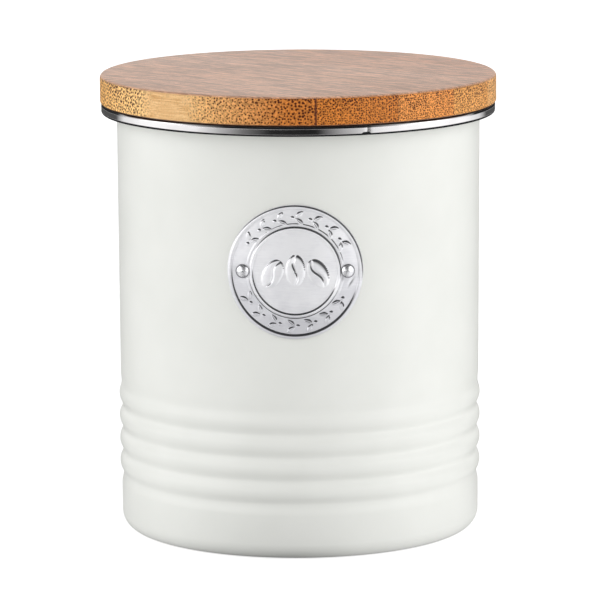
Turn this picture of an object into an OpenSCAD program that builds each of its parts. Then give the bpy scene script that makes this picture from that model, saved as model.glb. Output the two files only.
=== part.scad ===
// Round kitchen storage tin with a push-in wooden lid.
//
// The wall is a rolled steel sheet with four pressed ribs, and its turned-in foot holds a recessed
// base. A folded steel rim clips over the wall's flanged top. A round badge is riveted to the
// front. The lid is a board of glued bamboo staves with a plug and a lip seal under it.
//
// Millimetres. Origin at the centre of the standing face, +Z up, badge towards -Y.

/* [Wall] */
// Outside radius of the wall at its top
wall_r = 55; // [54.6:0.1:55.4]
// Loss of radius for each millimetre further down
wall_taper = 0.004; // [0:0.001:0.008]
// Thickness of the wall and base sheet
sheet = 0.5; // [0.4:0.05:0.55]
// Outside radius of the rounded foot
foot_round = 5; // [4:0.5:6]
// Height of the rim's top face, on which the lid rests
rim_top = 130.3; // [125:0.1:170]

/* [Ribs] */
// Height of the top rib's crest
top_rib_z = 41.4; // [40:0.1:50]
// Distance from one crest to the next
rib_pitch = 7; // [6.5:0.1:7.2]
// Rise of a crest above the plain wall, and depth of a valley below it
rib_rise = 0.5; // [0.2:0.05:0.7]

/* [Rim] */
// Outside radius of the rim
rim_r = 59.7; // [59.4:0.1:59.9]
// Height of the rim's outer skirt
rim_drop = 2.8; // [2.6:0.1:3.6]
// Thickness of the rim sheet
rim_sheet = 0.5; // [0.4:0.05:0.5]
// Depth of the rim's collar inside the mouth
collar_drop = 9; // [6:0.5:14]
// Direction of the rim's butt joint, in degrees from the front towards +X
rim_joint_angle = 21.2; // [-180:0.1:180]
// Width of the butt joint
rim_joint_w = 0.12; // [0.1:0.01:0.3]

/* [Badge] */
// Radius of the badge
badge_r = 20; // [19.5:0.1:22]
// Height of the badge's centre
badge_z = 87; // [75:0.5:95]
// Thickness of the badge sheet
badge_t = 0.6; // [0.5:0.05:0.8]
// Rise of the raised rings and ornament above the badge sheet
relief = 0.45; // [0.2:0.05:0.5]
// Distance of each rivet from the badge's centre, measured across the front
rivet_x = 15.5; // [15.3:0.1:15.7]
// Radius of a rivet's domed head
rivet_head_r = 2.05; // [1.7:0.05:2.1]

/* [Lid] */
// Radius of the lid board
lid_r = 60; // [59.8:0.1:64]
// Thickness of the lid board
lid_t = 8.9; // [7:0.1:12]
// Height of the dark gap between the board's edge and the rim
shadow_gap = 0.35; // [0.2:0.05:1]
// Width of one bamboo stave
stave_w = 21.25; // [20.5:0.05:26]
// Direction of the staves, in degrees from +X towards -Y
grain_angle = 38.8; // [0:0.1:180]
// Radius of the plug under the board
plug_r = 51.8; // [51.4:0.1:52]
// Height of the plug
plug_h = 8; // [7:0.5:12]

/* [Hidden] */

$fn = 96;
paint = "#e9ebe2";
steel = "#c9ccd1";
aluminium = "#dcdde3";
bamboo = "#c98f4e";
bamboo_light = "#d8a463";
silicone = "#f0efe9";

// Bends follow the middle of the sheet
bend = 0.75;
hem_bend = 0.4;
rim_bend = 0.35;
seam_bend = 0.5;

// Seam between the foot and the base
seam_r = 46.35;
seam_h = 4;
base_z = 2.75;
hook_end_z = 1.3;

// Top of the wall, folded outwards under the rim
flange_r = rim_r - rim_sheet - 0.1;
flange_z = rim_top - rim_sheet - sheet / 2;

// Running room between the collar and the wall, and between touching sheets
fit_gap = 0.04;
rib_count = 4;
rib_steps = 10;
shoulder_dip = 0.2;
crest_flatness = 0.12;

plate_gap = 0.02;
shank_r = 1.1;
bore_r = 1.15;
rivet_head_h = 1.1;
rivet_head_edge = 0.2;
rivet_tail_r = 1.8;
rivet_tail_t = 0.7;
rivet_tail_gap = 0.06;

glue_line = 0.05;
lid_top_round = 1;
lid_bottom_round = 0.6;
land_r = 57;
plug_round = 1;
seal_z = rim_top - 6;
seal_h = 3.6;
seal_depth = 1.5;
seal_r = 53.7;

function arc(centre, r, from, to, steps) = [
    for (i = [0:steps])
        let (a = from + (to - from) * i / steps)
        centre + r * [cos(a), sin(a)]
];

function unit(v) = v / norm(v);

function left_of(v) = [-v[1], v[0]];

function reversed(list) = [for (i = [len(list) - 1:-1:0]) list[i]];

// A path's points moved d to its left, mitred at each corner
function beside(path, d) = [
    for (i = [0:len(path) - 1])
        let (
            into = unit(path[max(i, 1)] - path[max(i, 1) - 1]),
            out = unit(path[min(i + 1, len(path) - 1)] - path[min(i, len(path) - 2)]),
            n = left_of(into) + left_of(out)
        )
        path[i] + 2 * d * n / (n * n)
];

// Closed outline of a sheet whose middle follows the path
function sheet_outline(path, t) = concat(beside(path, t / 2), reversed(beside(path, -t / 2)));

// Outside radius of the wall at height z, without its ribs
function plain_r(z) = wall_r - wall_taper * (rim_top - z);

low_valley_z = top_rib_z - (rib_count - 0.5) * rib_pitch;
ribs_from = low_valley_z - rib_pitch / 2;
ribs_to = top_rib_z + rib_pitch;

// Rise of the ribs above the plain wall at height z: broad crests, narrower valleys, a shallow dip
// above the top rib and a full valley below the bottom one
function rib_relief(z) =
    z > top_rib_z + rib_pitch / 2 ? -shoulder_dip * (1 - cos(360 * (z - ribs_to) / rib_pitch)) / 2
    : z > top_rib_z ? (rib_rise - shoulder_dip) / 2
        + (rib_rise + shoulder_dip) / 2 * cos(360 * (z - top_rib_z) / rib_pitch)
    : z > low_valley_z ? rib_rise * (cos(360 * (z - top_rib_z) / rib_pitch)
        + crest_flatness * (1 - cos(720 * (z - top_rib_z) / rib_pitch)))
    : -rib_rise * (1 + cos(360 * (z - low_valley_z) / rib_pitch)) / 2;

rib_total_steps = round((ribs_to - ribs_from) / rib_pitch) * rib_steps;

wall_path = concat(
    [[seam_r, seam_h]],
    arc([seam_r + bend, bend + sheet / 2], bend, 180, 270, 4),
    arc([plain_r(foot_round) - foot_round, foot_round], foot_round - sheet / 2, 270, 360, 10),
    [
        for (i = [0:rib_total_steps])
            let (z = ribs_from + (ribs_to - ribs_from) * i / rib_total_steps)
            [plain_r(z) + rib_relief(z) - sheet / 2, z]
    ],
    arc([wall_r - sheet / 2 + bend, flange_z - bend], bend, 180, 90, 4),
    [[flange_r, flange_z]]
);

// The base hooks over the foot's upright edge
base_path = concat(
    [[0, base_z]],
    arc([seam_r - sheet - seam_bend, base_z + seam_bend], seam_bend, 270, 360, 4),
    arc([seam_r, seam_h + plate_gap], sheet, 180, 0, 8),
    [[seam_r + sheet, hook_end_z]]
);

collar_r = wall_r - sheet - fit_gap - rim_sheet / 2;
rim_path = concat(
    [[collar_r, rim_top - collar_drop]],
    arc([collar_r + rim_bend, rim_top - rim_sheet / 2 - rim_bend], rim_bend, 180, 90, 4),
    arc(
        [rim_r - rim_sheet / 2 - rim_bend, rim_top - rim_sheet / 2 - rim_bend],
        rim_bend, 90, 0, 4
    ),
    arc(
        [rim_r - rim_sheet / 2 - hem_bend, rim_top - rim_drop + rim_sheet / 2 + hem_bend],
        hem_bend, 0, -180, 10
    ),
    [[rim_r - rim_sheet / 2 - 2 * hem_bend, flange_z - sheet / 2 - plate_gap]]
);

module turned(outline) {
    rotate_extrude() polygon(outline);
}

// A solid between two cones that run beside the wall, from lift to lift + t outside it
module wall_skin(lift, t) {
    low = badge_z - badge_r - 2;
    high = badge_z + badge_r + 2;
    translate([0, 0, low])
        difference() {
            cylinder(
                r1 = plain_r(low) + lift + t,
                r2 = plain_r(high) + lift + t,
                h = high - low
            );
            translate([0, 0, -1])
                cylinder(
                    r1 = plain_r(low - 1) + lift,
                    r2 = plain_r(high + 1) + lift,
                    h = high - low + 2
                );
        }
}

// Stands a drawing up in front of the badge's centre and runs it back to the tin's axis
module through_badge() {
    translate([0, 0, badge_z])
        rotate([90, 0, 0])
            linear_extrude(wall_r + 5) children();
}

module ring(r, w) {
    difference() {
        circle(r);
        circle(r - w);
    }
}

module leaf(length, width) {
    steps = 5;
    polygon(concat(
        [for (i = [0:steps]) [length * i / steps, width / 2 * sin(180 * i / steps)]],
        [for (i = [steps - 1:-1:1]) [length * i / steps, -width / 2 * sin(180 * i / steps)]]
    ));
}

// Two leaves and a berry
module sprig() {
    for (side = [-1, 1])
        rotate(side * 38) translate([0.35, 0]) leaf(2.6, 1.15);
    translate([-0.75, 0]) circle(0.5);
}

// Sprigs along the badge's band, in a row over the top and another under the bottom
module garland() {
    band_r = 0.805 * badge_r;
    for (half = [0, 180], i = [-3:3])
        rotate(half + 90 + 19 * i) translate([band_r, 0]) rotate(-90) sprig();
}

// A coffee bean lying along X: an oval split by a curved crease
module bean(length, width) {
    crease = 0.5;
    difference() {
        polygon([for (a = [0:12:348]) [length / 2 * cos(a), width / 2 * sin(a)]]);
        polygon(concat(
            [for (t = [-1:0.125:1]) [length * 0.46 * t, 0.12 * width * sin(180 * t) + crease / 2]],
            [for (t = [1:-0.125:-1]) [length * 0.46 * t, 0.12 * width * sin(180 * t) - crease / 2]]
        ));
    }
}

// Three beans side by side
module bean_row() {
    translate([-6.6, -0.6]) rotate(62) bean(9, 5.6);
    translate([0.1, 0.5]) rotate(90) bean(9, 5.6);
    translate([6.7, -0.5]) rotate(118) bean(9, 5.6);
}

plate_r = plain_r(badge_z) + plate_gap + badge_t;
rivet_angle = asin(rivet_x / plate_r);

// Moves a part whose axis is +Z to a rivet's seat on the badge: side -1 is left and 1 is right
module at_rivet(side) {
    translate([0, 0, badge_z])
        rotate([0, 0, side * rivet_angle])
            rotate([90, 0, 0])
                translate([0, 0, plate_r]) children();
}

module rivet_bores() {
    for (side = [-1, 1])
        at_rivet(side) translate([0, 0, -4]) cylinder(r = bore_r, h = 8);
}

module rivet() {
    dome_r = (rivet_head_r * rivet_head_r + rivet_head_h * rivet_head_h) / (2 * rivet_head_h);
    dome_z = rivet_head_edge + rivet_head_h - dome_r;
    dome_from = asin((rivet_head_edge - dome_z) / dome_r);
    tail_top = -(badge_t + plate_gap + sheet + rivet_tail_gap);
    turned(concat(
        [
            [0, tail_top - rivet_tail_t],
            [rivet_tail_r * 0.7, tail_top - rivet_tail_t],
            [rivet_tail_r, tail_top - rivet_tail_t * 0.4],
            [rivet_tail_r, tail_top],
            [shank_r, tail_top],
            [shank_r, 0],
            [rivet_head_r, 0]
        ],
        arc([0, dome_z], dome_r, dome_from, 90, 8)
    ));
}

// The whole lid board, before it is divided into staves. Only the land in its middle rests on the
// rim, because its underside is cut back towards the edge.
module board() {
    edge_z = rim_top + shadow_gap;
    turned(concat(
        [[0, rim_top], [land_r, rim_top], [land_r, edge_z]],
        arc([lid_r - lid_bottom_round, edge_z + lid_bottom_round], lid_bottom_round, 270, 360, 4),
        arc([lid_r - lid_top_round, rim_top + lid_t - lid_top_round], lid_top_round, 0, 90, 5),
        [[0, rim_top + lid_t]]
    ));
}

// Stave 1 is at the front left, and stave 6 at the back right
module lid_stave(number) {
    color(number % 2 == 0 ? bamboo_light : bamboo)
        intersection() {
            board();
            rotate([0, 0, -grain_angle])
                translate([-lid_r - 1, (number - 4) * stave_w + glue_line / 2, rim_top - 1])
                    cube([2 * lid_r + 2, stave_w - glue_line, lid_t + 2]);
        }
}

module body_wall() {
    color(paint)
        difference() {
            turned(sheet_outline(wall_path, sheet));
            rivet_bores();
        }
}

module base_pan() {
    color(paint) turned(sheet_outline(base_path, sheet));
}

module rim_band() {
    color(steel)
        difference() {
            turned(sheet_outline(rim_path, rim_sheet));
            rotate([0, 0, rim_joint_angle - 90])
                translate([collar_r - 2, -rim_joint_w / 2, rim_top - collar_drop - 1])
                    cube([rim_r - collar_r + 4, rim_joint_w, collar_drop + 2]);
        }
}

module badge_plate() {
    color(aluminium)
        difference() {
            union() {
                intersection() {
                    wall_skin(plate_gap, badge_t);
                    through_badge() circle(badge_r);
                }
                intersection() {
                    wall_skin(plate_gap + badge_t / 2, badge_t / 2 + relief);
                    through_badge() {
                        ring(badge_r - 0.15, 1.2);
                        ring(0.67 * badge_r, 0.95);
                        garland();
                        bean_row();
                    }
                }
            }
            rivet_bores();
        }
}

module badge_rivet_left() {
    color(aluminium) at_rivet(-1) rivet();
}

module badge_rivet_right() {
    color(aluminium) at_rivet(1) rivet();
}

module lid_plug() {
    color(bamboo)
        turned(concat(
            [[0, rim_top - plug_h]],
            arc([plug_r - plug_round, rim_top - plug_h + plug_round], plug_round, 270, 360, 4),
            [
                [plug_r, seal_z],
                [plug_r - seal_depth, seal_z],
                [plug_r - seal_depth, seal_z + seal_h],
                [plug_r, seal_z + seal_h],
                [plug_r, rim_top],
                [0, rim_top]
            ]
        ));
}

// A lip's four corners, from its root up to its tip and back
function lip(z) = [[plug_r, z], [seal_r, z + 0.7], [seal_r, z + 1], [plug_r + 0.2, z + 0.8]];

module lid_seal() {
    color(silicone)
        turned(concat(
            [[plug_r - seal_depth, seal_z]],
            lip(seal_z),
            lip(seal_z + seal_h / 2),
            [[plug_r, seal_z + seal_h], [plug_r - seal_depth, seal_z + seal_h]]
        ));
}

body_wall();
base_pan();
rim_band();
badge_plate();
badge_rivet_left();
badge_rivet_right();
lid_stave(1);  // lid_stave_1
lid_stave(2);  // lid_stave_2
lid_stave(3);  // lid_stave_3
lid_stave(4);  // lid_stave_4
lid_stave(5);  // lid_stave_5
lid_stave(6);  // lid_stave_6
lid_plug();
lid_seal();
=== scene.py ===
import math

import bmesh
import bpy
import numpy as np
from mathutils import Matrix, Vector


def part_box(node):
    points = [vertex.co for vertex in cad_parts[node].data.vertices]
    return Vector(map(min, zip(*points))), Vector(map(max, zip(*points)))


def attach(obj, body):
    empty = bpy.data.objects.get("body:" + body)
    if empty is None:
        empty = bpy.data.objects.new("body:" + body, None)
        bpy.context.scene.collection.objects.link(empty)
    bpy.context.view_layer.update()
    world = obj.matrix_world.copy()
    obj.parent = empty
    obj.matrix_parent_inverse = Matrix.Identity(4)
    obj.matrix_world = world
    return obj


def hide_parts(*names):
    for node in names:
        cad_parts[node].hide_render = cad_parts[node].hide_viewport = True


# The looks of a painted steel kitchen tin with a riveted badge, a steel rim and a bamboo lid.
# Meshes are drawn in millimetres, from the same profiles as the CAD model, and scaled to metres.
# Directions round the tin are angles in degrees from the front (-Y) towards +X.

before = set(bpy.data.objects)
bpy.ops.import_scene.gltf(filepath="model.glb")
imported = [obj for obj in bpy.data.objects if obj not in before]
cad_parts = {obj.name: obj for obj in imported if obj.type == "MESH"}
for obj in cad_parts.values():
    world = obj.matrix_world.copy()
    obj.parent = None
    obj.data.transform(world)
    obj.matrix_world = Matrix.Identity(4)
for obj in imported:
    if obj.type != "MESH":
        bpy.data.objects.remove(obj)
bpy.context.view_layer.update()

MM = 0.001

# Heights and radii read from the CAD nodes
RIM_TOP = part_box("rim_band")[1].z / MM
RIM_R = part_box("rim_band")[1].x / MM
LID_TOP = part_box("lid_stave_3")[1].z / MM
LID_R = 60.0
PLUG_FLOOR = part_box("lid_plug")[0].z / MM
PLUG_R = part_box("lid_plug")[1].x / MM

# The wall's profile
WALL_R = 55.0
WALL_TAPER = 0.004
SHEET = 0.5
BEND = 0.75
FOOT_ROUND = 5.0
SEAM_R = 46.35
SEAM_H = 4.0
FLANGE_R = RIM_R - SHEET - 0.1
FLANGE_Z = RIM_TOP - SHEET - SHEET / 2

# The pressed ribs
TOP_RIB_Z = 41.4
RIB_PITCH = 7.0
RIB_RISE = 0.5
RIB_COUNT = 4
SHOULDER_DIP = 0.2
CREST_FLATNESS = 0.12
LOW_VALLEY_Z = TOP_RIB_Z - (RIB_COUNT - 0.5) * RIB_PITCH
RIBS_FROM = LOW_VALLEY_Z - RIB_PITCH / 2
RIBS_TO = TOP_RIB_Z + RIB_PITCH

# The base
BASE_Z = 2.75
SEAM_BEND = 0.5
HOOK_END_Z = 1.3
SHEET_GAP = 0.02

# The rim
COLLAR_R = WALL_R - SHEET - 0.04 - SHEET / 2
COLLAR_DROP = 9.0
RIM_BEND = 0.35
RIM_DROP = 2.8
HEM_BEND = 0.4
RIM_JOINT_ANGLE = 21.2
RIM_JOINT_W = 0.12

# The badge
BADGE_R = 20.0
BADGE_Z = 87.0
BADGE_T = 0.6
RELIEF = 0.45
RIVET_X = 15.5
EDGE_BEAD_R = 19.3
EDGE_BEAD_W = 0.95
INNER_BEAD_R = 12.95
FINE_BEAD_R = 14.05
SPRIG_R = 16.1
SPRIG_STEP = 19

# The lid
STAVE_COUNT = 6
STAVE_W = 21.25
GLUE_LINE = 0.05
DARK_GLUE_LINE = -2  # in stave widths from the middle of the lid
DARK_GLUE, FAINT_GLUE = 0.85, 0.15
GRAIN_ANGLE = 38.8
LID_TOP_ROUND = 1.0
LID_BOTTOM_ROUND = 0.6
LAND_R = 57.0
SHADOW_GAP = 0.35
SEAL_Z = RIM_TOP - 6
SEAL_H = 3.6
SEAL_DEPTH = 1.5
SEAL_R = 53.7


# ---- Outlines ----

def arc(centre, radius, start, end, steps):
    """Points along a circle from one angle to another, in degrees."""
    turn = np.radians(np.linspace(start, end, steps + 1))
    return [(centre[0] + radius * math.cos(a), centre[1] + radius * math.sin(a)) for a in turn]


def beside(path, distance):
    """A path's points moved to its left, mitred at each corner."""
    points = np.array(path, float)
    steps = np.diff(points, axis=0)
    steps /= np.linalg.norm(steps, axis=1)[:, None]
    left = np.column_stack([-steps[:, 1], steps[:, 0]])
    both = np.vstack([left[:1], left]) + np.vstack([left, left[-1:]])
    return points + 2 * distance * both / (both ** 2).sum(1)[:, None]


def sheet_outline(path, thickness):
    """The closed outline of a sheet whose middle follows the path."""
    return np.vstack([beside(path, thickness / 2), beside(path, -thickness / 2)[::-1]])


def plain_r(z):
    """Outside radius of the wall at height z, without its ribs."""
    return WALL_R - WALL_TAPER * (RIM_TOP - z)


def rib_relief(z):
    """Rise of the ribs above the plain wall at height z."""
    wave = math.cos(2 * math.pi * (z - TOP_RIB_Z) / RIB_PITCH)
    if z > TOP_RIB_Z + RIB_PITCH / 2:
        return -SHOULDER_DIP * (1 - math.cos(2 * math.pi * (z - RIBS_TO) / RIB_PITCH)) / 2
    if z > TOP_RIB_Z:
        return (RIB_RISE - SHOULDER_DIP) / 2 + (RIB_RISE + SHOULDER_DIP) / 2 * wave
    if z > LOW_VALLEY_Z:
        return RIB_RISE * (wave + CREST_FLATNESS * (2 - 2 * wave ** 2))
    return -RIB_RISE * (1 + math.cos(2 * math.pi * (z - LOW_VALLEY_Z) / RIB_PITCH)) / 2


def wall_path():
    ribs = np.linspace(RIBS_FROM, RIBS_TO, 101)
    plain = np.linspace(RIBS_TO + 8, FLANGE_Z - 8, 9)
    return (
        [(SEAM_R, SEAM_H)]
        + arc((SEAM_R + BEND, BEND + SHEET / 2), BEND, 180, 270, 8)
        + arc((plain_r(FOOT_ROUND) - FOOT_ROUND, FOOT_ROUND), FOOT_ROUND - SHEET / 2, 270, 360, 18)
        + [(plain_r(z) + rib_relief(z) - SHEET / 2, z) for z in ribs]
        + [(plain_r(z) - SHEET / 2, z) for z in plain]
        + arc((WALL_R - SHEET / 2 + BEND, FLANGE_Z - BEND), BEND, 180, 90, 8)
        + [(FLANGE_R, FLANGE_Z)]
    )


def base_path():
    return (
        [(0, BASE_Z)]
        + arc((SEAM_R - SHEET - SEAM_BEND, BASE_Z + SEAM_BEND), SEAM_BEND, 270, 360, 8)
        + arc((SEAM_R, SEAM_H + SHEET_GAP), SHEET, 180, 0, 14)
        + [(SEAM_R + SHEET, HOOK_END_Z)]
    )


def rim_path():
    middle = RIM_R - SHEET / 2
    return (
        [(COLLAR_R, RIM_TOP - COLLAR_DROP)]
        + arc((COLLAR_R + RIM_BEND, RIM_TOP - SHEET / 2 - RIM_BEND), RIM_BEND, 180, 90, 8)
        + arc((middle - RIM_BEND, RIM_TOP - SHEET / 2 - RIM_BEND), RIM_BEND, 90, 0, 8)
        + [(middle, RIM_TOP - SHEET / 2 - RIM_BEND - 0.4)]
        + arc((middle - HEM_BEND, RIM_TOP - RIM_DROP + SHEET / 2 + HEM_BEND), HEM_BEND, 0, -180, 16)
        + [(middle - 2 * HEM_BEND, FLANGE_Z - SHEET / 2 - SHEET_GAP)]
    )


def board_outline():
    edge_z = RIM_TOP + SHADOW_GAP
    return (
        [(0, RIM_TOP), (LAND_R, RIM_TOP), (LAND_R, edge_z)]
        + arc((LID_R - LID_BOTTOM_ROUND, edge_z + LID_BOTTOM_ROUND), LID_BOTTOM_ROUND, 270, 360, 6)
        + arc((LID_R - LID_TOP_ROUND, LID_TOP - LID_TOP_ROUND), LID_TOP_ROUND, 0, 90, 8)
        + [(0, LID_TOP)]
    )


def plug_outline():
    groove = PLUG_R - SEAL_DEPTH
    return (
        [(0, PLUG_FLOOR)]
        + arc((PLUG_R - 1, PLUG_FLOOR + 1), 1, 270, 360, 8)
        + [(PLUG_R, SEAL_Z), (groove, SEAL_Z), (groove, SEAL_Z + SEAL_H), (PLUG_R, SEAL_Z + SEAL_H)]
        + [(PLUG_R, RIM_TOP), (0, RIM_TOP)]
    )


def seal_outline():
    """A band in the plug's groove with two upturned lips, rounded at their tips."""
    points = [(PLUG_R - SEAL_DEPTH, SEAL_Z)]
    for z in (SEAL_Z, SEAL_Z + SEAL_H / 2):
        points += [(PLUG_R, z), (SEAL_R - 0.12, z + 0.68)]
        points += arc((SEAL_R - 0.15, z + 0.85), 0.15, -60, 80, 5)
        points += [(PLUG_R + 0.2, z + 0.8)]
    return points + [(PLUG_R, SEAL_Z + SEAL_H), (PLUG_R - SEAL_DEPTH, SEAL_Z + SEAL_H)]


def rivet_outline():
    """A domed head above the badge, a shank through the badge and wall, and a set tail behind."""
    head_r, head_h, edge = 2.05, 1.1, 0.2
    dome_r = (head_r ** 2 + head_h ** 2) / (2 * head_h)
    dome_z = edge + head_h - dome_r
    start = math.degrees(math.asin((edge - dome_z) / dome_r))
    tail = -(BADGE_T + SHEET_GAP + SHEET + 0.06)
    return (
        [(0, tail - 0.7), (1.26, tail - 0.7), (1.62, tail - 0.5), (1.8, tail - 0.28), (1.8, tail)]
        + [(1.1, tail), (1.1, 0), (head_r, 0)]
        + arc((0, dome_z), dome_r, start, 90, 16)
    )


# ---- Meshes ----

def piece(name, points, faces, sharp_angle=35):
    """A smooth-shaded mesh object from points in millimetres."""
    mesh = bpy.data.meshes.new(name)
    mesh.from_pydata((np.array(points) * MM).tolist(), [], faces)
    work = bmesh.new()
    work.from_mesh(mesh)
    bmesh.ops.recalc_face_normals(work, faces=work.faces)
    work.to_mesh(mesh)
    work.free()
    mesh.shade_smooth()
    mesh.set_sharp_from_angle(angle=math.radians(sharp_angle))
    made = bpy.data.objects.new(name, mesh)
    bpy.context.scene.collection.objects.link(made)
    return made


def turned(outline, steps, start=0.0, end=360.0):
    """Points and faces of a closed (radius, height) outline swept round Z, capped unless it closes."""
    closed = end - start >= 360
    turn = np.radians(start + (end - start) * np.arange(steps + (not closed)) / steps)
    points, rows = [], []
    for r, z in outline:
        if abs(r) < 1e-9:
            rows.append([len(points)] * len(turn))
            points.append((0, 0, z))
        else:
            rows.append(list(range(len(points), len(points) + len(turn))))
            points.extend((r * math.sin(a), -r * math.cos(a), z) for a in turn)
    faces = []
    for low, high in zip(rows, rows[1:] + rows[:1]):
        for i in range(steps):
            j = (i + 1) % len(turn)
            corners = tuple(dict.fromkeys((low[i], low[j], high[j], high[i])))
            if len(corners) > 2:
                faces.append(corners)
    if not closed:
        faces.append(tuple(row[0] for row in rows))
        faces.append(tuple(row[-1] for row in reversed(rows)))
    return points, faces


def cut(made, cutter):
    """Cuts one closed mesh out of another, and removes the cutter."""
    step = made.modifiers.new("cut", "BOOLEAN")
    step.operation, step.object, step.solver = "DIFFERENCE", cutter, "EXACT"
    graph = bpy.context.evaluated_depsgraph_get()
    mesh = bpy.data.meshes.new_from_object(made.evaluated_get(graph), depsgraph=graph)
    made.modifiers.clear()
    made.data = mesh
    bpy.data.objects.remove(cutter)


def seat_of_rivet(side):
    """The place of a rivet whose axis is +Z: side -1 is left and 1 is right."""
    seat_r = plain_r(BADGE_Z) + SHEET_GAP + BADGE_T
    angle = side * math.asin(RIVET_X / seat_r)
    return (
        Matrix.Translation((0, 0, BADGE_Z * MM))
        @ Matrix.Rotation(angle, 4, "Z")
        @ Matrix.Rotation(math.pi / 2, 4, "X")
        @ Matrix.Translation((0, 0, seat_r * MM))
    )


def bore(made, side):
    """Drills one rivet's hole."""
    drill = piece("drill", *turned([(0, -4), (1.15, -4), (1.15, 4), (0, 4)], 32))
    drill.data.transform(seat_of_rivet(side))
    cut(made, drill)


def make_wall():
    made = piece("wall", *turned(sheet_outline(wall_path(), SHEET), 240))
    bore(made, -1)
    bore(made, 1)
    return made


def make_rim():
    """The rim's rolled strip. Its two ends turn in a little where they meet, and its skirt isn't
    perfectly round."""
    half_slit = math.degrees(RIM_JOINT_W / 2 / RIM_R)
    start = RIM_JOINT_ANGLE + half_slit
    outline = sheet_outline(rim_path(), SHEET)
    points, faces = turned(outline, 720, start, start + 360 - 2 * half_slit)
    skirt_from = 57
    shaped = []
    for x, y, z in points:
        r, angle = math.hypot(x, y), math.atan2(x, -y)
        skirt = min(max((r - skirt_from) / 2, 0), 1)
        from_joint = abs((math.degrees(angle) - RIM_JOINT_ANGLE + 180) % 360 - 180)
        end_roll = 0.14 * math.exp(-((math.radians(from_joint) * RIM_R / 0.55) ** 2))
        wave = 0.02 * (math.sin(5 * angle + 1.1) + 0.6 * math.sin(11 * angle + 0.4))
        r += skirt * (wave - 0.03 - end_roll)
        shaped.append((r * math.sin(angle), -r * math.cos(angle), z))
    return piece("rim", shaped, faces)


def make_rivet(name, side):
    made = piece(name, *turned(rivet_outline(), 64))
    made.data.transform(seat_of_rivet(side))
    return made


def glue_lines_of(number):
    """A stave's two edges, in stave widths from the middle of the lid."""
    edge = number - 1 - STAVE_COUNT // 2
    return edge, edge + 1


def make_staves():
    """The board cut into staves along its glue lines."""
    across = Vector((math.sin(math.radians(GRAIN_ANGLE)), math.cos(math.radians(GRAIN_ANGLE)), 0))
    points, faces = turned(board_outline(), 720)
    staves = []
    for number in range(1, STAVE_COUNT + 1):
        made = piece(f"stave_{number}", points, faces)
        work = bmesh.new()
        work.from_mesh(made.data)
        for edge, side in zip(glue_lines_of(number), (-1, 1)):
            place = across * (edge * STAVE_W - side * GLUE_LINE / 2) * MM
            everything = work.verts[:] + work.edges[:] + work.faces[:]
            outward = across * side
            bmesh.ops.bisect_plane(
                work, geom=everything, dist=1e-7, plane_co=place, plane_no=outward, clear_outer=True
            )
            bmesh.ops.holes_fill(work, edges=[e for e in work.edges if e.is_boundary])
        bmesh.ops.recalc_face_normals(work, faces=work.faces)
        work.to_mesh(made.data)
        work.free()
        made.data.set_sharp_from_angle(angle=math.radians(35))
        staves.append(made)
    return staves


# ---- The badge's relief: each function gives a height from 0 to 1 for points across the badge ----

def round_top(distance, half_width):
    """A bead's height at a distance from its middle."""
    return np.sqrt(np.clip(1 - (distance / half_width) ** 2, 0, 1))


def turned_about(x, z, centre, degrees):
    """Points in the frame of a figure that lies at centre, turned by an angle."""
    a = math.radians(degrees)
    dx, dz = x - centre[0], z - centre[1]
    return dx * math.cos(a) + dz * math.sin(a), dz * math.cos(a) - dx * math.sin(a)


def leaf_height(x, z, centre, degrees, length, width):
    """A domed leaf that starts at centre, with a vein along its middle."""
    along, aside = turned_about(x, z, centre, degrees)
    share = np.clip(along / length, 0, 1)
    half = width / 2 * np.sin(math.pi * share) + 1e-6
    inside = (along > 0) & (along < length)
    vein = 1 - 0.45 * np.exp(-((aside / 0.1) ** 2))
    return np.where(inside, round_top(aside, half) * vein, 0)


def sprig_height(x, z, centre, degrees):
    """Two leaves and a berry."""
    height = np.zeros_like(x)
    for side in (-1, 1):
        turn = degrees + side * 38
        root = (
            centre[0] + 0.35 * math.cos(math.radians(turn)),
            centre[1] + 0.35 * math.sin(math.radians(turn)),
        )
        height = np.maximum(height, leaf_height(x, z, root, turn, 2.7, 1.3))
    along, aside = turned_about(x, z, centre, degrees)
    return np.maximum(height, round_top(np.hypot(along + 0.75, aside), 0.5))


def bean_height(x, z, centre, degrees, length, width):
    """A domed coffee bean with a curved crease."""
    along, aside = turned_about(x, z, centre, degrees)
    dome = np.clip(1 - (2 * along / length) ** 2 - (2 * aside / width) ** 2, 0, 1) ** 0.4
    middle = 0.12 * width * np.sin(2 * math.pi * along / (0.92 * length))
    crease = np.exp(-(((aside - middle) / 0.32) ** 2))
    return dome * (1 - 0.9 * crease)


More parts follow.
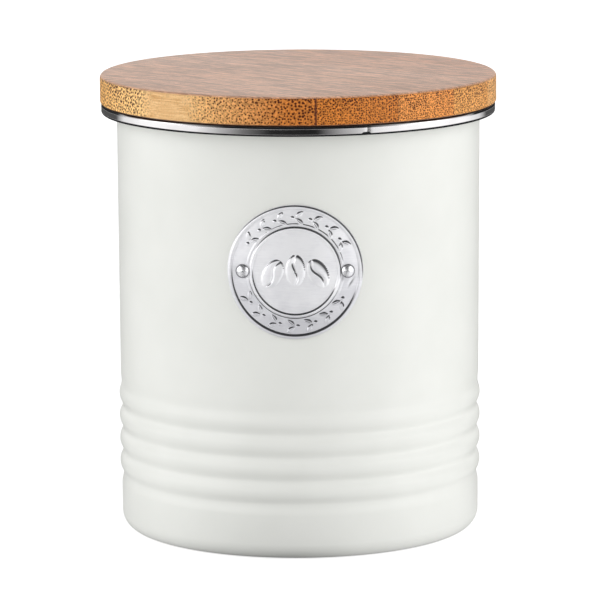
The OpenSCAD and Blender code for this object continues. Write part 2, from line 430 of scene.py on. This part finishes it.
def badge_height(x, z):
    """Height of the badge's face in millimetres."""
    rho = np.hypot(x, z)
    past_bead = rho - EDGE_BEAD_R
    slope = np.cos(past_bead / EDGE_BEAD_W * math.pi / 2)
    edge_bead = np.where(past_bead < 0, slope, round_top(past_bead, 0.62))
    edge_bead = np.where(past_bead > -EDGE_BEAD_W, edge_bead, 0)
    height = np.maximum(edge_bead, round_top(rho - INNER_BEAD_R, 0.52))
    near_rivet = np.exp(-((np.hypot(np.abs(x) - RIVET_X, z) / 2.9) ** 4))
    height = np.maximum(height, 0.25 * round_top(rho - FINE_BEAD_R, 0.4) * (1 - near_rivet))
    for radius, depth, width in ((18.4, 0.45, 0.25), (12.32, 0.55, 0.2), (13.58, 0.3, 0.12)):
        height = height - depth * np.exp(-(((rho - radius) / width) ** 2))
    for half in (0, 180):
        for step in range(-3, 4):
            turn = half + 90 + SPRIG_STEP * step
            place = (SPRIG_R * math.cos(math.radians(turn)), SPRIG_R * math.sin(math.radians(turn)))
            height = np.maximum(height, 0.8 * sprig_height(x, z, place, turn - 90))
    for place, turn in (((-6.6, -0.6), 62), ((0.1, 0.5), 90), ((6.7, -0.5), 118)):
        height = np.maximum(height, bean_height(x, z, place, turn, 9, 5.6))
    along, aside = turned_about(x, z, (16.4, -3.0), 62)
    dent = 0.3 * np.exp(-((along / 1.7) ** 2) - (aside / 0.4) ** 2)
    return RELIEF * (height - 0.2 * near_rivet - dent)


def ring_faces(low, high, columns):
    """Quads between two rings of points, from their first points' numbers."""
    quads = []
    for i in range(columns):
        j = (i + 1) % columns
        quads.append((low + i, high + i, high + j, low + j))
    return quads


def make_badge():
    """The embossed plate: a fine polar grid bent round the wall, with a plain back and a turned edge."""
    columns = 600
    radii = np.concatenate([np.linspace(0.4, 11.8, 48), np.linspace(11.9, BADGE_R - 0.14, 90)])
    turn = 2 * math.pi * np.arange(columns) / columns
    x = np.concatenate([[0], np.outer(radii, np.cos(turn)).ravel()])
    z = np.concatenate([[0], np.outer(radii, np.sin(turn)).ravel()])
    levels = [(x, z, BADGE_T + badge_height(x, z))]
    for inset, lift in ((0.05, BADGE_T - 0.06), (0, BADGE_T - 0.2), (0, 0.1), (0.1, 0)):
        radius = BADGE_R - inset
        levels.append((radius * np.cos(turn), radius * np.sin(turn), np.full(columns, lift)))
    levels.append((12 * np.cos(turn), 12 * np.sin(turn), np.zeros(columns)))
    levels.append((np.zeros(1), np.zeros(1), np.zeros(1)))
    x, z, lift = (np.concatenate(part) for part in zip(*levels))
    r = plain_r(BADGE_Z + z) + SHEET_GAP + lift
    points = np.column_stack([x, -np.sqrt(r ** 2 - x ** 2), BADGE_Z + z])
    rings = len(radii) + 5
    faces = [(0, 1 + i, 1 + (i + 1) % columns) for i in range(columns)]
    for ring in range(rings - 1):
        faces += ring_faces(1 + ring * columns, 1 + (ring + 1) * columns, columns)
    last, tip = 1 + (rings - 1) * columns, len(points) - 1
    faces += [(tip, last + (i + 1) % columns, last + i) for i in range(columns)]
    made = piece("badge", points, faces, 80)
    bore(made, -1)
    bore(made, 1)
    return made


# ---- Materials ----

class Tree:
    """Adds nodes to a material's or world's node tree. Each call returns the new node's output."""

    def __init__(self, owner):
        owner.use_nodes = True
        self.owner = owner
        self.nodes = owner.node_tree.nodes
        self.links = owner.node_tree.links

    def add(self, kind, inputs=None, output=0, **settings):
        node = self.nodes.new(kind)
        for key, value in settings.items():
            setattr(node, key, value)
        for key, value in (inputs or {}).items():
            self.join(value, node.inputs[key])
        return node.outputs[output]

    def join(self, value, socket):
        if isinstance(value, bpy.types.NodeSocket):
            self.links.new(value, socket)
        else:
            socket.default_value = value

    def calc(self, operation, *values):
        return self.add("ShaderNodeMath", dict(enumerate(values)), operation=operation)

    def remap(self, value, low, high, to_low=0.0, to_high=1.0, smooth=False):
        kind = "SMOOTHSTEP" if smooth else "LINEAR"
        inputs = {"Value": value, 1: low, 2: high, 3: to_low, 4: to_high}
        return self.add("ShaderNodeMapRange", inputs, interpolation_type=kind)

    def mix(self, factor, first, second):
        """A number between two others."""
        return self.add("ShaderNodeMix", {0: factor, 2: first, 3: second}, data_type="FLOAT")

    def blend(self, factor, first, second):
        """A colour between two others."""
        return self.add("ShaderNodeMix", {0: factor, 6: first, 7: second}, 2, data_type="RGBA")

    def ramp(self, value, stops):
        """A colour or grey level by value, from (position, level or colour) pairs."""
        made = self.add("ShaderNodeValToRGB", {0: value})
        band = made.node.color_ramp
        while len(band.elements) < len(stops):
            band.elements.new(1.0)
        for element, (position, level) in zip(band.elements, stops):
            element.position = position
            element.color = (*level, 1) if isinstance(level, tuple) else (level, level, level, 1)
        return made

    def parts(self, vector):
        """The X, Y and Z of a vector."""
        return self.add("ShaderNodeSeparateXYZ", {0: vector}).node.outputs

    def reach(self, first, second):
        """The length of a vector with these two parts."""
        squares = self.calc("MULTIPLY_ADD", first, first, self.calc("MULTIPLY", second, second))
        return self.calc("SQRT", squares)

    def angle_round(self, x, y):
        """The direction round the tin in radians, from the front (-Y) towards +X."""
        return self.calc("ARCTAN2", x, self.calc("MULTIPLY", y, -1.0))

    def noise(self, vector, scale, detail=2.0, roughness=0.5):
        inputs = {"Vector": vector, "Scale": scale, "Detail": detail, "Roughness": roughness}
        return self.add("ShaderNodeTexNoise", inputs)


class Surface(Tree):
    """A material built round its Principled shader."""

    def __init__(self, name, constants):
        super().__init__(bpy.data.materials.new(name))
        self.shader = self.nodes["Principled BSDF"]
        for socket, value in constants.items():
            self.shader.inputs[socket].default_value = value

    def millimetres(self, turn=0.0, stretch=(1, 1, 1), offset=(0, 0, 0)):
        """The piece's own coordinates in millimetres, turned about Z, then stretched and moved."""
        place = self.add("ShaderNodeTexCoord", output="Object")
        scaled = {"Vector": place, "Rotation": (0, 0, math.radians(turn)), "Scale": (1 / MM,) * 3}
        along = self.add("ShaderNodeMapping", scaled)
        return self.add("ShaderNodeMapping", {"Vector": along, "Scale": stretch, "Location": offset})

    def bump(self, height, microns):
        inputs = {"Height": height, "Distance": microns * 1e-6, "Strength": 1.0}
        return self.add("ShaderNodeBump", inputs)

    def wear(self, colour, roughness, normal):
        """Plugs the finished outputs into the shader and returns the material."""
        for socket, value in (("Base Color", colour), ("Roughness", roughness), ("Normal", normal)):
            self.join(value, self.shader.inputs[socket])
        return self.owner


def cream_paint():
    """Satin stove enamel: cream, faintly mottled, with a fine orange peel."""
    s = Surface("cream_paint", {"Specular IOR Level": 0.5, "Coat Weight": 0.12, "Coat Roughness": 0.3})
    mm = s.millimetres()
    mottle = s.noise(mm, 0.06, 3)
    colour = s.ramp(mottle, [(0.3, (0.805, 0.815, 0.775)), (0.7, (0.835, 0.843, 0.805))])
    peel = s.noise(mm, 1.1, 2, 0.55)
    grit = s.noise(mm, 7.0, 2)
    texture = s.calc("MULTIPLY_ADD", grit, 0.25, peel)
    rough = s.remap(s.noise(mm, 0.5, 2), 0.3, 0.7, 0.36, 0.44)
    return s.wear(colour, rough, s.bump(texture, 9))


def painted_rim_shade(s, angle, from_joint):
    """How much painted shade the rim gets, from 0 to 1: painted dark reflection and shade along its
    lower fold and, except for a stretch on each side of the front, the lid's painted shadow along its
    upper corner. Angles are in radians and the rest in millimetres."""
    x, y, z = s.parts(s.millimetres())
    r = s.reach(x, y)
    from_front = s.calc("ABSOLUTE", angle)
    # painted shade: the dark line along the lower fold is taller away from the front and just beside the
    # joint
    from_spot = s.calc("ABSOLUTE", s.calc("ADD", from_joint, 0.6))
    spot = s.remap(from_spot, 0.7, 1.6, 0.4, 0, smooth=True)
    dark_to = s.calc("ADD", spot, s.remap(from_front, 0.4, 1.0, 0.6, 0.75))
    above_end = s.calc("SUBTRACT", z, RIM_TOP - RIM_DROP)
    fold = s.remap(s.calc("SUBTRACT", above_end, dark_to), -0.09, 0.09, 1, 0, smooth=True)
    fold = s.calc("MULTIPLY", fold, s.remap(r, WALL_R + 1, WALL_R + 2))
    # painted shadow of the lid along the upper corner, left off on a stretch each side of the front
    corner = s.remap(z, RIM_TOP - 0.66, RIM_TOP - 0.5, smooth=True)
    corner = s.calc("MULTIPLY", corner, s.remap(r, RIM_R - 0.5, RIM_R - 0.35))
    bare = s.calc("MULTIPLY", s.remap(from_front, 0.35, 0.7), s.remap(from_front, 1.0, 1.1, 1, 0))
    corner = s.calc("MULTIPLY", corner, s.calc("SUBTRACT", 1.0, bare))
    return s.calc("MAXIMUM", fold, corner)


def polished_steel():
    """Stainless strip with fine rolling lines round the rim, painted shade and dark reflection along its
    folds, and a rough weld mark at the joint."""
    s = Surface("polished_steel", {"Specular IOR Level": 0.05})
    x, y, _ = s.parts(s.millimetres())
    angle = s.angle_round(x, y)
    from_joint = s.calc("MULTIPLY", s.calc("SUBTRACT", angle, math.radians(RIM_JOINT_ANGLE)), RIM_R)
    # painted shade: where the rim is painted dark, the steel is made near-black, rough and non-metallic
    dark = painted_rim_shade(s, angle, from_joint)
    s.join(s.calc("SUBTRACT", 1.0, dark), s.shader.inputs["Metallic"])
    smear = s.noise(s.millimetres(), 0.12, 2)
    polished = s.ramp(smear, [(0.3, (0.74, 0.725, 0.73)), (0.7, (0.81, 0.795, 0.80))])
    weld = s.calc("LESS_THAN", s.calc("ABSOLUTE", s.calc("SUBTRACT", from_joint, 0.2)), 0.6)
    grain = s.noise(s.millimetres(), 2.5, 3, 0.6)
    mark = s.ramp(grain, [(0.35, (0.10, 0.09, 0.09)), (0.65, (0.55, 0.54, 0.53))])
    colour = s.blend(s.calc("MULTIPLY", weld, 0.85), polished, mark)
    colour = s.blend(dark, colour, (0.012, 0.012, 0.014, 1))
    rough = s.mix(weld, s.remap(smear, 0.3, 0.7, 0.06, 0.1), 0.4)
    rough = s.mix(dark, rough, 0.75)
    lines = s.noise(s.millimetres(stretch=(0.08, 0.08, 9)), 1.0, 2, 0.5)
    return s.wear(colour, rough, s.bump(lines, 0.25))


def badge_aluminium():
    """Etched aluminium with light brushing across the badge and a duller outer band. Painted shade makes
    the plate and its band darker towards the bottom and each ledge that faces up near-black."""
    s = Surface("badge_aluminium", {"Metallic": 0.45})
    x, _, z = s.parts(s.millimetres())
    height = s.calc("SUBTRACT", z, BADGE_Z)
    off_centre = s.reach(x, height)
    brushed = s.noise(s.millimetres(stretch=(0.3, 0.3, 4)), 1.0, 4, 0.65)
    cloud = s.noise(s.millimetres(), 0.22, 3)
    # painted shade: the plate's tone falls towards its bottom
    tone = s.calc("MULTIPLY_ADD", brushed, 0.7, s.calc("MULTIPLY_ADD", height, 0.012, cloud))
    band = s.remap(off_centre, 13.2, 14.2)
    # the outer band is duller, and painted shade makes it darker towards its bottom
    tone = s.calc("SUBTRACT", tone, s.calc("MULTIPLY", band, s.remap(height, -8, 8, 0.5, 0.24)))
    greys = [(0.2, (0.73, 0.73, 0.765)), (0.6, (0.88, 0.88, 0.91)), (1.0, (0.98, 0.98, 1.0))]
    # painted shade and dark reflection: surfaces that face up are made near-black
    facing = s.add("ShaderNodeTexCoord", output="Normal")
    up = s.add("ShaderNodeVectorMath", {0: facing, 1: (0.26, 0, 0.97)}, "Value", operation="DOT_PRODUCT")
    up_facing_shade = s.remap(up, 0.08, 0.24, 0, 0.98, smooth=True)
    up_facing_shade = s.calc("MULTIPLY", up_facing_shade, s.remap(off_centre, BADGE_R - 0.18, BADGE_R - 0.08, 1, 0.25))
    colour = s.blend(up_facing_shade, s.ramp(tone, greys), (0.03, 0.03, 0.034, 1))
    rough = s.remap(brushed, 0.3, 0.7, 0.38, 0.48)
    return s.wear(colour, rough, s.bump(brushed, 3))


def rivet_aluminium():
    """Bright rivet heads with small marks from the setting tool, and painted shade darkening them round
    their edges.
    """
    s = Surface("rivet_aluminium", {"Metallic": 1.0})
    mm = s.millimetres()
    marks = s.noise(mm, 2.2, 4, 0.6)
    bright = s.ramp(marks, [(0.3, (0.74, 0.74, 0.77)), (0.7, (0.88, 0.88, 0.90))])
    x, _, z = s.parts(mm)
    aside = s.calc("SUBTRACT", s.calc("ABSOLUTE", x), RIVET_X)
    off_axis = s.reach(aside, s.calc("SUBTRACT", z, BADGE_Z))
    # painted shade: each head darkens to near-black round its edge
    colour = s.blend(s.remap(off_axis, 1.6, 1.95, 0, 0.85), bright, (0.06, 0.06, 0.065, 1))
    rough = s.remap(marks, 0.3, 0.7, 0.2, 0.32)
    return s.wear(colour, rough, s.bump(marks, 6))


# In the bamboo, U runs along the fibres and V across them, level with the board.

def bamboo_pores(s, flat, cell, pore, offset):
    """How far each point is inside a pore, from 0 to 1. The pores lie on the curved edge and, drawn
    out by the swaying fibres, on the flat faces."""
    x, y, z = s.parts(s.millimetres())
    u, v, _ = s.parts(s.millimetres(GRAIN_ANGLE))
    round_edge = s.calc("MULTIPLY", s.angle_round(x, y), LID_R)
    on_edge = s.add("ShaderNodeCombineXYZ", {0: s.calc("ADD", round_edge, offset[0]), 1: z})
    sway = s.noise(s.millimetres(GRAIN_ANGLE, (0.03, 0.09, 0.09), offset), 1.0, 2)
    across = s.calc("MULTIPLY_ADD", sway, 2.4, s.calc("ADD", v, offset[1]))
    on_top = s.add("ShaderNodeCombineXYZ", {0: across, 1: s.calc("MULTIPLY_ADD", sway, -1.8, z)})
    where = s.add("ShaderNodeMix", {0: flat, 4: on_edge, 5: on_top}, 1, data_type="VECTOR")
    inputs = {"Vector": where, "Scale": 1 / cell, "Randomness": 0.75}
    cells = s.add("ShaderNodeTexVoronoi", inputs, voronoi_dimensions="2D").node
    chance = s.add("ShaderNodeSeparateXYZ", {0: cells.outputs["Color"]})
    patches = s.noise(s.millimetres(offset=offset), 0.35, 2)
    off_sparse = s.calc("ABSOLUTE", s.calc("SUBTRACT", u, 12.0))
    limit = s.remap(chance, 0, 1, 0.75 * pore, 1.2 * pore)
    limit = s.calc("MULTIPLY", limit, s.remap(patches, 0.3, 0.7, 0.8, 1.15))
    limit = s.calc("MULTIPLY", limit, s.remap(off_sparse, 8, 28, 0.75, 1.1))
    limit = s.calc("MULTIPLY", limit, s.remap(z, RIM_TOP, LID_TOP, 0.9, 1.15))
    return s.remap(s.calc("SUBTRACT", limit, cells.outputs["Distance"]), -0.04, 0.1, smooth=True)


def bamboo_edge(s, fibres, grit, pores, ends, glue_lines):
    """The colour of the curved edge: gritty end grain with dark pores where the fibres are cut across,
    plain fibres where they run along it, and a dark line at each glue line."""
    u, v, _ = s.parts(s.millimetres(GRAIN_ANGLE))
    turn = math.radians(GRAIN_ANGLE)
    normal = s.add("ShaderNodeTexCoord", output="Normal")
    along_u = {0: normal, 1: (math.cos(turn), -math.sin(turn), 0)}
    cut_across = s.add("ShaderNodeVectorMath", along_u, "Value", operation="DOT_PRODUCT")
    end_grain = s.remap(s.calc("ABSOLUTE", cut_across), 0.08, 0.24, smooth=True)
    along_wood = s.ramp(fibres, [(0.36, (0.66, 0.34, 0.12)), (0.62, (0.93, 0.62, 0.30))])
    tones = [(0.0, ends[0]), (0.45, (0.97, 0.63, 0.26)), (0.93, ends[1])]
    shades = []
    for shade in (0.6, 1.35):
        shaded = [(place, tuple(shade * level for level in tone)) for place, tone in tones]
        shades.append(s.ramp(s.remap(u, -42, 42), shaded))
    end_wood = s.blend(s.remap(grit, 0.38, 0.6), *shades)
    pore_share = s.calc("MULTIPLY", pores, s.remap(end_grain, 0, 1, 0.12, 1))
    wood = s.blend(pore_share, s.blend(end_grain, along_wood, end_wood), (0.085, 0.016, 0.001, 1))
    for line, strength in glue_lines:
        gap = s.calc("ABSOLUTE", s.calc("SUBTRACT", v, line))
        wood = s.blend(s.remap(gap, 0.12, 0.34, strength, 0), wood, (0.10, 0.02, 0.01, 1))
    return wood


def bamboo_top(s, fibres, pores, offset, tint):
    """The colour of the flat faces: fine streaks, darker dashes and faint pores."""
    dark = tuple(level * share for level, share in zip((0.44, 0.245, 0.155), tint))
    light = tuple(level * share for level, share in zip((0.94, 0.54, 0.345), tint))
    streaks = s.noise(s.millimetres(GRAIN_ANGLE, (0.1, 0.8, 0.8), offset), 1.0, 5, 0.85)
    dashes = s.noise(s.millimetres(GRAIN_ANGLE, (0.11, 0.9, 0.9), offset[::-1]), 1.0, 1)
    tone = s.calc("MULTIPLY_ADD", streaks, 0.65, s.calc("MULTIPLY", fibres, 0.35))
    wood = s.ramp(tone, [(0.45, dark), (0.55, light)])
    wood = s.blend(s.remap(dashes, 0.6, 0.68, 0, 0.55), wood, (0.34, 0.17, 0.10, 1))
    return s.blend(s.calc("MULTIPLY", pores, 0.4), wood, (0.30, 0.14, 0.08, 1))


def painted_underside_shade(s, colour):
    """Painted shade: darkens the board's lower edge, where it overhangs the rim."""
    x, y, z = s.parts(s.millimetres())
    edge_z = RIM_TOP + SHADOW_GAP
    outside = s.remap(s.reach(x, y), LAND_R - 0.1, LAND_R)
    # painted shade: the outer part of the board darkens towards its lower edge
    overhang_shade = s.calc("MULTIPLY", outside, s.remap(z, edge_z, edge_z + 0.5, 1, 0, smooth=True))
    return s.blend(s.calc("MULTIPLY", overhang_shade, 0.9), colour, (0.04, 0.008, 0.002, 1))


def bamboo(name, ends, cell, pore, offset, top_tint=(1, 1, 1), glue_lines=()):
    """Lacquered bamboo whose fibres run along the staves.

    Ends are the end grain's colours at the -U and +U ends, cell is the pores' spacing, and glue lines
    are pairs of a place on V and a strength."""
    s = Surface(name, {"Specular IOR Level": 0.2, "Coat Roughness": 0.35})
    normal = s.add("ShaderNodeTexCoord", output="Normal")
    flat = s.remap(s.calc("ABSOLUTE", s.parts(normal)[2]), 0.45, 0.75, smooth=True)
    s.join(s.remap(flat, 0, 1, 0.02, 0.4), s.shader.inputs["Coat Weight"])
    pores = bamboo_pores(s, flat, cell, pore, offset)
    fibres = s.noise(s.millimetres(GRAIN_ANGLE, (0.05, 2.6, 2.6), offset), 1.0, 4, 0.7)
    grit = s.noise(s.millimetres(offset=offset), 1.5, 3, 0.7)
    edge_wood = bamboo_edge(s, fibres, grit, pores, ends, glue_lines)
    top_wood = bamboo_top(s, fibres, pores, offset, top_tint)
    # painted shade along the board's lower edge
    colour = painted_underside_shade(s, s.blend(flat, edge_wood, top_wood))
    relief = s.calc("MULTIPLY_ADD", pores, -0.7, s.mix(flat, grit, fibres))
    rough = s.remap(fibres, 0.3, 0.7, 0.42, 0.54)
    return s.wear(colour, rough, s.bump(relief, 30))


def silicone():
    """Milky food-grade silicone with a faint mould texture."""
    s = Surface("silicone", {"Subsurface Weight": 0.4, "Subsurface Scale": 0.0015, "IOR": 1.41})
    mm = s.millimetres()
    cloud = s.noise(mm, 0.3, 3)
    colour = s.ramp(cloud, [(0.3, (0.80, 0.79, 0.75)), (0.7, (0.86, 0.85, 0.82))])
    fine = s.noise(mm, 6, 2)
    rough = s.remap(fine, 0.3, 0.7, 0.42, 0.55)
    return s.wear(colour, rough, s.bump(fine, 5))


# ---- Studio ----

# Pairs of an angle round the tin and a brightness. Broad bright panels stand at both sides, and it is
# dimmer before and behind the tin.
ROUND_FLOOR = [
    (-180, 0.15), (-125, 0.15), (-108, 0.6), (-90, 0.6), (-60, 0.95), (-42, 0.9), (-25, 0.65),
    (0, 0.45), (18, 0.85), (38, 1.1), (60, 1.15), (90, 0.9), (108, 0.6), (125, 0.15), (180, 0.15),
]
FAR_FLOOR = [
    (-180, 0.1), (-128, 0.1), (-118, 1.0), (-105, 1.15), (-90, 1.3), (-60, 1.1), (-45, 0.6), (-30, 0.2),
    (-15, 0.02), (12, 0.02), (25, 0.4), (45, 0.95), (65, 1.25), (85, 1.3), (110, 1.2), (128, 0.9),
    (140, 0.1), (180, 0.1),
]
ROUND_LOW_SKY = [
    (-180, 1.35), (-125, 0.85), (-105, 1.1), (-95, 2.5), (-58, 2.5), (-45, 2.3), (-25, 1.4),
    (0, 0.4), (20, 0.5), (38, 1.8), (52, 2.5), (90, 2.5), (105, 1.1), (130, 0.85), (180, 1.35),
]
ROUND_HIGH_SKY = [
    (-180, 0.5), (-125, 0.3), (-100, 1.0), (-92, 2.45), (-58, 2.5), (-45, 1.65), (-25, 0.45),
    (0, 0.2), (20, 0.2), (38, 0.75), (50, 2.45), (88, 2.45), (100, 1.0), (130, 0.3), (180, 0.5),
]
OVERHEAD = 0.2
BRIGHTEST = 2.5


def brightness_round(tree, x, y, levels):
    """Brightness by direction round the tin, from (angle, level) pairs."""
    place = tree.remap(tree.angle_round(x, y), -math.pi, math.pi)
    stops = [((a + 180) / 360, level / BRIGHTEST) for a, level in levels]
    return tree.calc("MULTIPLY", tree.ramp(place, stops), BRIGHTEST)


def make_sky():
    """A soft studio. It is white to the camera; to everything else it is bright at the sides and dim
    overhead."""
    world = bpy.data.worlds.new("studio")
    bpy.context.scene.world = world
    t = Tree(world)
    x, y, z = t.parts(t.add("ShaderNodeTexCoord", output="Generated"))
    low = brightness_round(t, x, y, ROUND_LOW_SKY)
    high = brightness_round(t, x, y, ROUND_HIGH_SKY)
    level = t.mix(t.remap(z, 0.24, 0.42, smooth=True), low, high)
    level = t.mix(t.remap(z, 0.62, 0.84, smooth=True), level, OVERHEAD)
    strength = t.mix(t.add("ShaderNodeLightPath", output="Is Camera Ray"), level, 1.0)
    background = t.nodes["Background"]
    background.inputs["Color"].default_value = (1, 1, 1, 1)
    t.join(strength, background.inputs["Strength"])


def make_floor():
    """A pale floor. The camera sees it nearly white, with a soft shadow. To the tin it is dark close
    by, dim in front and behind, and bright at the sides."""
    points, faces = turned([(0, -2), (3500, -2), (3500, 0), (0, 0)], 96)
    floor = piece("floor", points, faces)
    material = bpy.data.materials.new("pale_floor")
    t = Tree(material)
    t.nodes.clear()
    place = t.add("ShaderNodeTexCoord", output="Object")
    x, y, _ = t.parts(place)
    far = t.add("ShaderNodeVectorMath", {0: place}, "Value", operation="LENGTH")
    open_floor = t.ramp(t.remap(far, 0.045, 0.12), [(0.0, 0.0), (0.12, 0.56), (0.45, 0.84), (1.0, 1.0)])
    near = brightness_round(t, x, y, ROUND_FLOOR)
    cards = t.mix(t.remap(far, 0.42, 0.52, smooth=True), near, brightness_round(t, x, y, FAR_FLOOR))
    cards = t.calc("MULTIPLY", cards, open_floor)
    bounced = t.add("ShaderNodeEmission", {"Strength": cards})
    mottle = t.noise(place, 12, 3)
    pale = t.ramp(mottle, [(0.3, 0.80), (0.7, 0.84)])
    lit = t.add("ShaderNodeBsdfDiffuse", {"Color": pale})
    glow = t.add("ShaderNodeEmission", {"Strength": 0.62})
    shown = t.add("ShaderNodeAddShader", {0: lit, 1: glow})
    seen = t.add("ShaderNodeLightPath", output="Is Camera Ray")
    mixed = t.add("ShaderNodeMixShader", {0: seen, 1: bounced, 2: shown})
    t.nodes.new("ShaderNodeOutputMaterial")
    t.links.new(mixed, t.nodes["Material Output"].inputs["Surface"])
    material.cycles.emission_sampling = "NONE"
    floor.data.materials.append(material)


def make_camera():
    """A long lens a little above the rim, looking at the badge side."""
    distance = 1.4447
    azimuth = math.radians(1.2)
    elevation = math.radians(9.75)
    roll = math.radians(-0.29)
    target = Vector((0, 0, 0.0692))
    level = math.cos(elevation)
    back = Vector((math.sin(azimuth) * level, -math.cos(azimuth) * level, math.sin(elevation)))
    aim = (-back).to_track_quat("-Z", "Y").to_matrix().to_4x4()
    sideways = aim @ Vector((0.00025, 0, 0))
    place = Matrix.Translation(target + back * distance + sideways)
    camera = bpy.data.objects.new("camera", bpy.data.cameras.new("camera"))
    camera.matrix_world = place @ aim @ Matrix.Rotation(roll, 4, "Z")
    camera.data.lens = 283.9
    camera.data.sensor_width = 36
    camera.data.clip_end = 50
    bpy.context.scene.collection.objects.link(camera)
    bpy.context.scene.camera = camera


# ---- Assembly ----

def fit(made, body, node, material):
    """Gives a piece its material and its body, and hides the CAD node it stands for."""
    made.data.materials.clear()
    made.data.materials.append(material)
    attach(made, body)
    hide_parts(node)


make_camera()
make_sky()
make_floor()
bpy.context.scene.view_settings.view_transform = "Standard"

paint = cream_paint()
steel = polished_steel()
rivet_metal = rivet_aluminium()
fit(make_wall(), "tin", "body_wall", paint)
base = piece("base", *turned(sheet_outline(base_path(), SHEET), 240))
fit(base, "tin", "base_pan", paint)
fit(make_rim(), "tin", "rim_band", steel)
fit(make_badge(), "tin", "badge_plate", badge_aluminium())
fit(make_rivet("rivet_left", -1), "tin", "badge_rivet_left", rivet_metal)
fit(make_rivet("rivet_right", 1), "tin", "badge_rivet_right", rivet_metal)

STAVES = [
    # end-grain colours at both ends, pore spacing, pore size, offset, tint of the top
    ((0.87, 0.46, 0.135), (0.58, 0.19, 0.033), 0.98, 0.33, (0, 0, 0), (1, 1, 1)),
    ((0.66, 0.30, 0.10), (0.61, 0.20, 0.032), 0.72, 0.3, (40, 13, 5), (1, 1, 1)),
    ((0.68, 0.31, 0.10), (0.75, 0.285, 0.065), 0.68, 0.3, (90, 31, 9), (1, 1, 1)),
    ((0.62, 0.27, 0.08), (0.74, 0.34, 0.09), 0.72, 0.3, (130, 47, 14), (1, 1, 1)),
    ((0.70, 0.33, 0.12), (0.80, 0.42, 0.15), 0.74, 0.28, (170, 59, 21), (0.92, 0.86, 0.81)),
    ((0.64, 0.28, 0.09), (0.66, 0.31, 0.11), 0.85, 0.3, (210, 71, 27), (0.88, 0.76, 0.65)),
]
for number, (made, look) in enumerate(zip(make_staves(), STAVES), 1):
    first, last, cell, pore, offset, top_tint = look
    lines = []
    for edge in glue_lines_of(number):
        lines.append((edge * STAVE_W, DARK_GLUE if edge == DARK_GLUE_LINE else FAINT_GLUE))
    wood = bamboo(f"bamboo_{number}", (first, last), cell, pore, offset, top_tint, lines)
    fit(made, "lid", f"lid_stave_{number}", wood)

plug_wood = bamboo("bamboo_plug", ((0.66, 0.30, 0.10), (0.64, 0.27, 0.08)), 0.8, 0.26, (300, 90, 40))
fit(piece("plug", *turned(plug_outline(), 240)), "lid", "lid_plug", plug_wood)
fit(piece("seal", *turned(seal_outline(), 240)), "lid", "lid_seal", silicone())
